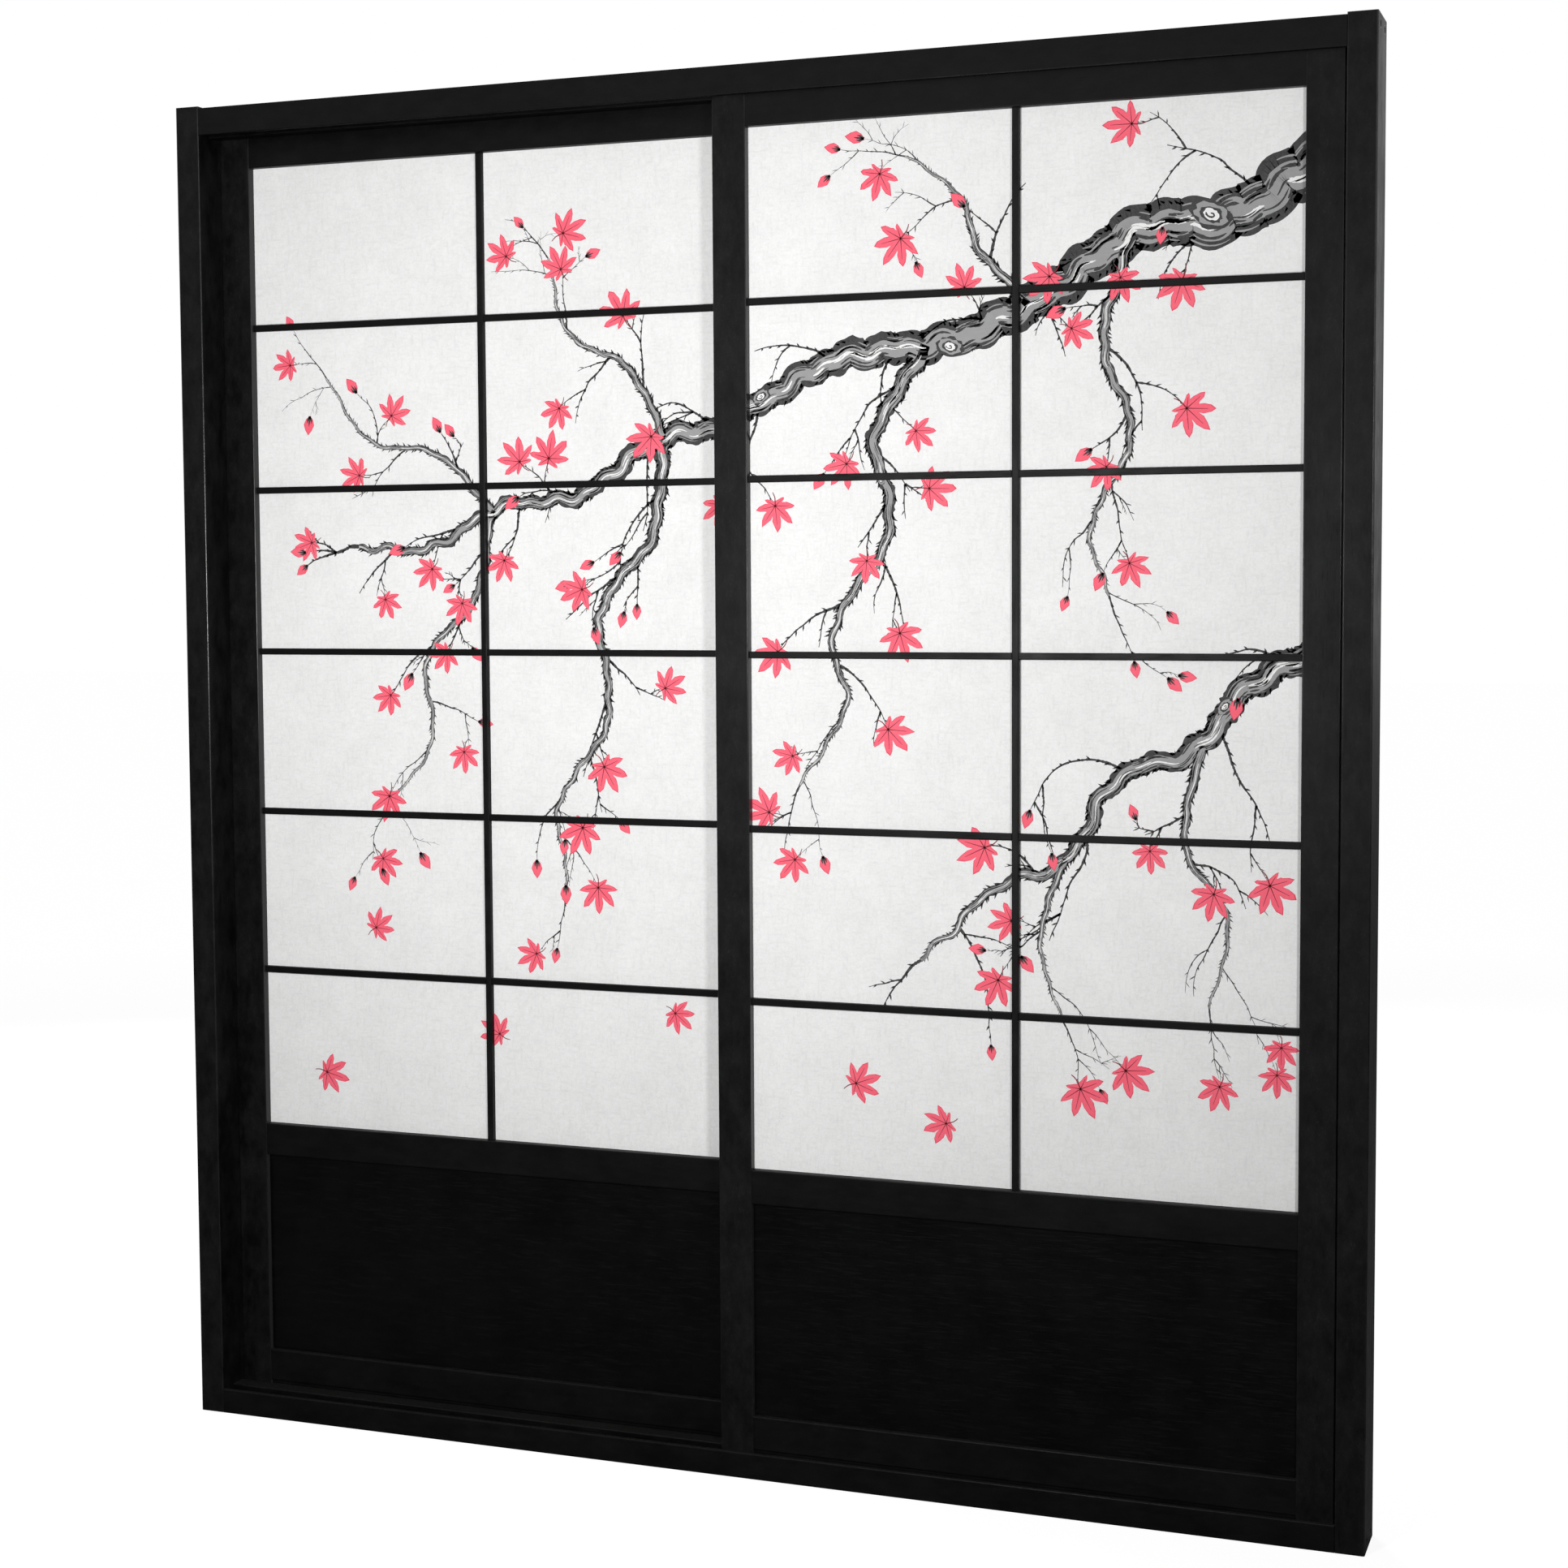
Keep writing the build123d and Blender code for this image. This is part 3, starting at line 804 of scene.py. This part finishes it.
def draw_bark(picture, line, halves):
    """The grey side of a bough inside its dark edges, with cracks, and light along its crest."""
    rng = picture.random
    count = len(line)
    wander = sway(count, 0.10, rng)

    def grey_reach(share, side):
        rises = bumps(count, BARK_BUMP, rng)
        return [h * (share + side * bend) + rise for h, bend, rise in zip(halves, wander, rises)]

    picture.ribbon("bark_grey", TONE, line, grey_reach(0.58, 1), grey_reach(0.46, -1))
    for i in range(0, count, 3):
        half = halves[i]
        side = rng.choice((-1, 1))
        edge = half * (0.52 if side > 0 else -0.42)
        long = rng.randrange(5, 16)
        out = edge + rng.uniform(-0.16, 0.12) * half * side
        draw_stroke(picture, "charcoal", CRACK, line, i, long, out, half * CRACK_WIDTH)
        if rng.random() < 0.40:
            out = edge + side * half * rng.uniform(0.12, 0.28)
            draw_stroke(picture, "bark_grey", SEAM, line, i, long, out, half * SEAM_WIDTH)
        if rng.random() < 0.26 * half / 0.02:
            out = half * rng.uniform(-0.35, 0.45)
            draw_stroke(picture, "charcoal", SPLIT, line, i, long, out, half * SPLIT_WIDTH)
        if wander[i] > -0.03 and rng.random() < 0.42:
            long = rng.randrange(8, 26)
            out = half * rng.uniform(-0.10, 0.26)
            draw_stroke(picture, "bark_light", LIGHT, line, i, long, out, half * LIGHT_WIDTH)


def draw_spurs(picture, line, edges):
    """Short pointed spurs of bark that lean forward on both sides of a bough."""
    rng = picture.random
    for i in range(2, len(line) - 2, 2):
        side = rng.choice((-1, 1))
        reach = edges[0 if side > 0 else 1][i]
        root = line[i] + aside(line, i) * side * reach * 0.75
        lean = heading_between(line[i], line[i + 1]) + side * rng.uniform(0.35, 1.0)
        tip = spot(root, lean, min(reach, 0.006) * 0.8 + rng.uniform(*SPUR_LENGTHS))
        thick = min(reach * 0.3, 0.0016)
        draw_point(picture, root, tip, thick, thick * 0.8)


def draw_knot(picture, place, turn, size):
    """The scar of a lost branch: wobbly rings, and a dark coil in the middle."""
    rng = picture.random
    flatten = Matrix.Rotation(turn, 2) @ Matrix(((1.0, 0.0), (0.0, FLATNESS)))
    middle = Vector((0, 0))
    for layer, (ink_name, scale) in enumerate(RINGS, KNOT):
        reach = [size * scale * rng.uniform(0.86, 1.12) for _ in range(RING_CORNERS)]
        outline = [
            place + flatten @ spot(middle, math.tau * k / RING_CORNERS, reach[k])
            for k in range(RING_CORNERS)
        ]
        picture.blot(ink_name, layer, outline)
    coil = [
        place + flatten @ spot(middle, 0.5 * k, size * (0.27 - 0.02 * k))
        for k in range(COIL_POINTS)
    ]
    thick = [size * 0.035 * rng.uniform(0.5, 1.5) for _ in coil]
    picture.ribbon("charcoal", KNOT + len(RINGS), coil, thick)


def draw_bough(picture, name):
    """One bough with scalloped bark, its knots, and twigs on both sides."""
    rng = picture.random
    start_width, end_width, points, knots = BOUGHS[name]
    line = smooth_line([Vector(point) * MM for point in points])
    bends = sway(len(line), min(start_width * MM * 0.25, MOST_SWAY), rng)
    line = [point + aside(line, i) * bends[i] for i, point in enumerate(line)]
    count = len(line)
    halves = [width / 2 for width in taper(count, start_width * MM, end_width * MM)]
    edges = []
    for _ in range(2):
        rough = bumps(count, 1.0, rng)
        edges.append([
            half * 0.92 + rise * min(EDGE_BUMP, half * 0.42) for half, rise in zip(halves, rough)
        ])
    picture.ribbon("charcoal", BODY, line, *edges)
    draw_spurs(picture, line, edges)
    draw_bark(picture, line, halves)
    for number, share in enumerate(knots):
        i = round(share * count)
        out = halves[i] * (0.42 if number % 2 else -0.42)
        turn = heading_between(line[i], line[i + 1])
        draw_knot(picture, line[i] + aside(line, i) * out, turn, halves[i] * 0.88)
    spacing, shortest, longest = TWIGS_ON_THICK if start_width > THICK_BOUGH else TWIGS_ON_THIN
    stride = round(spacing / LINE_STEP)
    side = 1
    for i in range(stride, count - 2, stride):
        i = min(count - 2, i + rng.randrange(-10, 11))
        side = -side
        out = heading_between(line[i], line[i + 1]) + side * rng.uniform(0.55, 1.15)
        length = rng.uniform(shortest, longest)
        draw_twig(picture, line[i], out, length, min(WIDEST_TWIG, halves[i] * 0.9))
    draw_twig(picture, line[-1], heading_between(line[-3], line[-1]), 0.10, end_width * MM * 0.8)


def draw_picture(settings):
    """The whole design: boughs that hang from the upper right, and leaves that drift below."""
    picture = Picture(settings)
    for name in BOUGHS:
        draw_bough(picture, name)
    for x, z, turn in DRIFTING:
        size = settings.leaf_size * picture.random.uniform(0.85, 1.1)
        draw_leaf(picture, Vector((x, z)) * MM, math.radians(turn), size)
    return picture


def cut_to_paper(mesh, low, high):
    """Cut a flat mesh off at the four sides of a panel's bare paper."""
    sides = [((low.x, 0, 0), (-1, 0, 0)), ((high.x, 0, 0), (1, 0, 0)),
             ((0, 0, low.y), (0, 0, -1)), ((0, 0, high.y), (0, 0, 1))]
    for place, outward in sides:
        bmesh.ops.bisect_plane(
            mesh, geom=mesh.verts[:] + mesh.edges[:] + mesh.faces[:],
            plane_co=place, plane_no=outward, clear_outer=True,
        )


def paper_window(panel):
    """The bare paper of one panel between its stiles and rails, as two (x, z) corners."""
    low_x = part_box(f"{panel}_left_stile")[1].x
    high_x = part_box(f"{panel}_right_stile")[0].x
    low_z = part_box(f"{panel}_bottom_bead")[1].z
    high_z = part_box(f"{panel}_top_bead")[0].z
    return Vector((low_x, low_z)), Vector((high_x, high_z))


def print_shapes(panel, name, inks, context):
    """One printed piece: the picture's shapes in some inks, cut to a panel's paper."""
    settings = context.scene.shoji.picture
    low, high = paper_window(panel)
    face_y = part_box(f"{panel}_paper")[0].y
    mesh = bmesh.new()
    for ink_name, layer, points, faces in draw_picture(settings).shapes:
        across = [point.x for point in points]
        if ink_name not in inks or max(across) < low.x or min(across) > high.x:
            continue
        made = [mesh.verts.new((p.x, face_y - layer * settings.layer, p.y)) for p in points]
        for face in faces:
            mesh.faces.new([made[i] for i in face]).material_index = inks.index(ink_name)
    # Triangles first, because the cut can lose part of a hollow outline
    mesh.normal_update()
    bmesh.ops.triangulate(mesh, faces=mesh.faces[:])
    mesh.normal_update()
    for face in mesh.faces:
        if face.normal.y > 0:
            face.normal_flip()
    cut_to_paper(mesh, low, high)
    data = bpy.data.meshes.new(name)
    mesh.to_mesh(data)
    mesh.free()
    for ink_name in inks:
        colour = getattr(settings, ink_name)
        data.materials.append(ink(ink_name, colour, context.scene.shoji.paper))
    piece = bpy.data.objects.new(name, data)
    context.scene.collection.objects.link(piece)
    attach(piece, panel)


# Operators


class SHOJI_OT_outer_frame(bpy.types.Operator):
    """Lacquer the jambs, the head track and the sill track"""

    bl_idname = "shoji.outer_frame"
    bl_label = "Outer frame"

    def execute(self, context):
        settings = context.scene.shoji.lacquer
        jamb = lacquer(settings, "upright", handled=True)
        dress(["left_jamb", "right_jamb"], jamb)
        dress(["head_track", "sill_track"], lacquer(settings, "level"))
        return {"FINISHED"}


class SHOJI_OT_corner_screws(bpy.types.Operator):
    """Plate the screws that hold the corners"""

    bl_idname = "shoji.corner_screws"
    bl_label = "Corner screws"

    def execute(self, context):
        dress(["frame_screws"], zinc())
        return {"FINISHED"}


class SHOJI_OT_panel_frames(bpy.types.Operator):
    """Lacquer the stiles and rails of both panels"""

    bl_idname = "shoji.panel_frames"
    bl_label = "Stiles and rails"

    def execute(self, context):
        settings = context.scene.shoji.lacquer
        for panel in PANELS:
            rails = [f"{panel}_{name}_rail" for name in ("top", "mid", "bottom")]
            # The inner side of each stile, the one toward the paper, gets the painted sheen
            for name, inward in (("left_stile", 1), ("right_stile", -1)):
                stile = lacquer(settings, "upright", handled=True, painted_sheen_side=inward)
                dress([f"{panel}_{name}"], stile)
            dress(rails, lacquer(settings, "level"))
        return {"FINISHED"}


class SHOJI_OT_lower_boards(bpy.types.Operator):
    """Lacquer the thin boards at the foot of the panels"""

    bl_idname = "shoji.lower_boards"
    bl_label = "Lower boards"

    def execute(self, context):
        board = lacquer(context.scene.shoji.lacquer, "board")
        dress([f"{panel}_lower_board" for panel in PANELS], board)
        return {"FINISHED"}


class SHOJI_OT_lattice(bpy.types.Operator):
    """Lacquer the lattice bars, and the beads behind the paper"""

    bl_idname = "shoji.lattice"
    bl_label = "Lattice and beads"

    def execute(self, context):
        settings = context.scene.shoji.lacquer
        level, upright = lacquer(settings, "level"), lacquer(settings, "upright")
        dress(CROSS_BARS, level)
        for panel in PANELS:
            uprights = [f"{panel}_{name}" for name in ("upright_bar", "left_bead", "right_bead")]
            dress([f"{panel}_top_bead", f"{panel}_bottom_bead"], level)
            dress(uprights, upright)
        return {"FINISHED"}


class SHOJI_OT_papers(bpy.types.Operator):
    """Finish the sheet of paper in each panel"""

    bl_idname = "shoji.papers"
    bl_label = "Papers"

    def execute(self, context):
        paper = rice_paper(context.scene.shoji.paper)
        dress([f"{panel}_paper" for panel in PANELS], paper)
        return {"FINISHED"}


class SHOJI_OT_printed_boughs(bpy.types.Operator):
    """Print the boughs and twigs on both papers"""

    bl_idname = "shoji.printed_boughs"
    bl_label = "Printed boughs"

    def execute(self, context):
        for panel in PANELS:
            print_shapes(panel, f"{panel}_printed_boughs", INKS[:3], context)
        return {"FINISHED"}


class SHOJI_OT_printed_leaves(bpy.types.Operator):
    """Print the leaves and buds on both papers"""

    bl_idname = "shoji.printed_leaves"
    bl_label = "Printed leaves"

    def execute(self, context):
        for panel in PANELS:
            print_shapes(panel, f"{panel}_printed_leaves", INKS[3:], context)
        return {"FINISHED"}


# The floor's drop below the frame, and how far from the middle its glow starts and stops changing
FLOOR_DROP, GLOW_START, GLOW_END = 0.0005, 1.0, 6.0

# Width of the camera's sensor in millimetres
SENSOR_WIDTH = 36.0


def make_floor(settings):
    """A pale floor that keeps the shadow and looks white to the camera where light falls on it."""
    material, tree, surface = new_material("studio_floor")
    surface["Base Color"].default_value = opaque(settings.floor_colour)
    surface["Roughness"].default_value = 0.9
    surface["Specular IOR Level"].default_value = 0.0
    surface["Emission Color"].default_value = (1.0, 1.0, 1.0, 1.0)
    seen = add_node(tree, "ShaderNodeLightPath").outputs["Is Camera Ray"]
    distance = add_node(
        tree, "ShaderNodeVectorMath", {0: own_place(tree)}, operation="LENGTH"
    ).outputs["Value"]
    glow = remap(tree, distance, GLOW_START, GLOW_END, settings.near_glow, settings.far_glow)
    tree.links.new(calculate(tree, "MULTIPLY", seen, glow), surface["Emission Strength"])
    half = settings.floor_size / 2
    corners = [(-half, -half, 0), (half, -half, 0), (half, half, 0), (-half, half, 0)]
    data = bpy.data.meshes.new("studio_floor")
    data.from_pydata(corners, [], [(0, 1, 2, 3)])
    data.materials.append(material)
    floor = bpy.data.objects.new("studio_floor", data)
    floor.location.z = cad_low.z - FLOOR_DROP
    bpy.context.scene.collection.objects.link(floor)


def make_world(settings):
    """White behind the object, and a plainer even light on it."""
    world = bpy.data.worlds.new("studio")
    bpy.context.scene.world = world
    world.use_nodes = True
    tree = world.node_tree
    tree.nodes.clear()
    path = add_node(tree, "ShaderNodeLightPath").outputs
    seen = calculate(tree, "MAXIMUM", path["Is Camera Ray"], path["Is Glossy Ray"])
    seen = calculate(tree, "MAXIMUM", seen, path["Is Transmission Ray"])
    strength = remap(tree, seen, 0.0, 1.0, settings.ambient, 1.0)
    background = add_node(
        tree, "ShaderNodeBackground", {"Color": (1.0, 1.0, 1.0, 1.0), "Strength": strength}
    )
    add_node(tree, "ShaderNodeOutputWorld", {"Surface": background.outputs[0]})


def make_lamp(name, power, place, target, size):
    """A rectangular lamp that shines from a place towards a target."""
    data = bpy.data.lights.new(name, "AREA")
    data.energy = power
    data.shape = "RECTANGLE"
    data.size, data.size_y = size
    lamp = bpy.data.objects.new(name, data)
    lamp.location = place
    lamp.rotation_mode = "QUATERNION"
    lamp.rotation_quaternion = (Vector(target) - Vector(place)).to_track_quat("-Z", "Y")
    lamp.visible_camera = False
    bpy.context.scene.collection.objects.link(lamp)


def make_lamps(settings):
    """A lamp in front of the middle, a key beside the camera, and a broad one behind."""
    parts = ("power", "place", "target", "size")
    for name in ("front", "key", "back"):
        make_lamp(name, *[getattr(settings, f"{name}_{part}") for part in parts])


def make_camera(settings):
    """The camera at the photograph's place, turn and framing."""
    sin_yaw, cos_yaw = math.sin(settings.yaw), math.cos(settings.yaw)
    sin_pitch, cos_pitch = math.sin(settings.pitch), math.cos(settings.pitch)
    ahead = Vector((-sin_yaw * cos_pitch, cos_yaw * cos_pitch, -sin_pitch))
    right = Vector((cos_yaw, sin_yaw, 0))
    up = right.cross(ahead)
    rolled_right = right * math.cos(settings.roll) + up * math.sin(settings.roll)
    rolled_up = up * math.cos(settings.roll) - right * math.sin(settings.roll)
    data = bpy.data.cameras.new("camera")
    data.lens = settings.lens
    data.sensor_width = SENSOR_WIDTH
    data.shift_x, data.shift_y = settings.shift
    camera = bpy.data.objects.new("camera", data)
    turned = Matrix((rolled_right, rolled_up, -ahead)).transposed().to_4x4()
    camera.matrix_world = Matrix.Translation(settings.camera) @ turned
    bpy.context.scene.collection.objects.link(camera)
    bpy.context.scene.camera = camera


class SHOJI_OT_stage(bpy.types.Operator):
    """Make the pale floor, the studio light and the camera"""

    bl_idname = "shoji.stage"
    bl_label = "Stage"

    def execute(self, context):
        settings = context.scene.shoji.stage
        context.scene.view_settings.view_transform = "Standard"
        make_floor(settings)
        make_world(settings)
        make_lamps(settings)
        make_camera(settings)
        return {"FINISHED"}


OPERATORS = (
    SHOJI_OT_outer_frame,
    SHOJI_OT_corner_screws,
    SHOJI_OT_panel_frames,
    SHOJI_OT_lower_boards,
    SHOJI_OT_lattice,
    SHOJI_OT_papers,
    SHOJI_OT_printed_boughs,
    SHOJI_OT_printed_leaves,
    SHOJI_OT_stage,
)


class SHOJI_PT_panel(bpy.types.Panel):
    """Lists the steps that finish the panels and set the stage"""

    bl_label = "Shoji sliding panels"
    bl_space_type = "VIEW_3D"
    bl_region_type = "UI"
    bl_category = "Shoji"

    def draw(self, context):
        for operator in OPERATORS:
            self.layout.operator(operator.bl_idname)


CLASSES = (
    LacquerSettings, PaperSettings, PrintSettings, StageSettings, ShojiSettings,
    *OPERATORS, SHOJI_PT_panel,
)


def register():
    for item in CLASSES:
        bpy.utils.register_class(item)
    bpy.types.Scene.shoji = PointerProperty(type=ShojiSettings)


def unregister():
    del bpy.types.Scene.shoji
    for item in reversed(CLASSES):
        bpy.utils.unregister_class(item)


def main():
    register()
    bpy.ops.shoji.outer_frame()
    bpy.ops.shoji.corner_screws()
    bpy.ops.shoji.panel_frames()
    bpy.ops.shoji.lower_boards()
    bpy.ops.shoji.lattice()
    bpy.ops.shoji.papers()
    bpy.ops.shoji.printed_boughs()
    bpy.ops.shoji.printed_leaves()
    bpy.ops.shoji.stage()


if __name__ == "__main__":
    main()
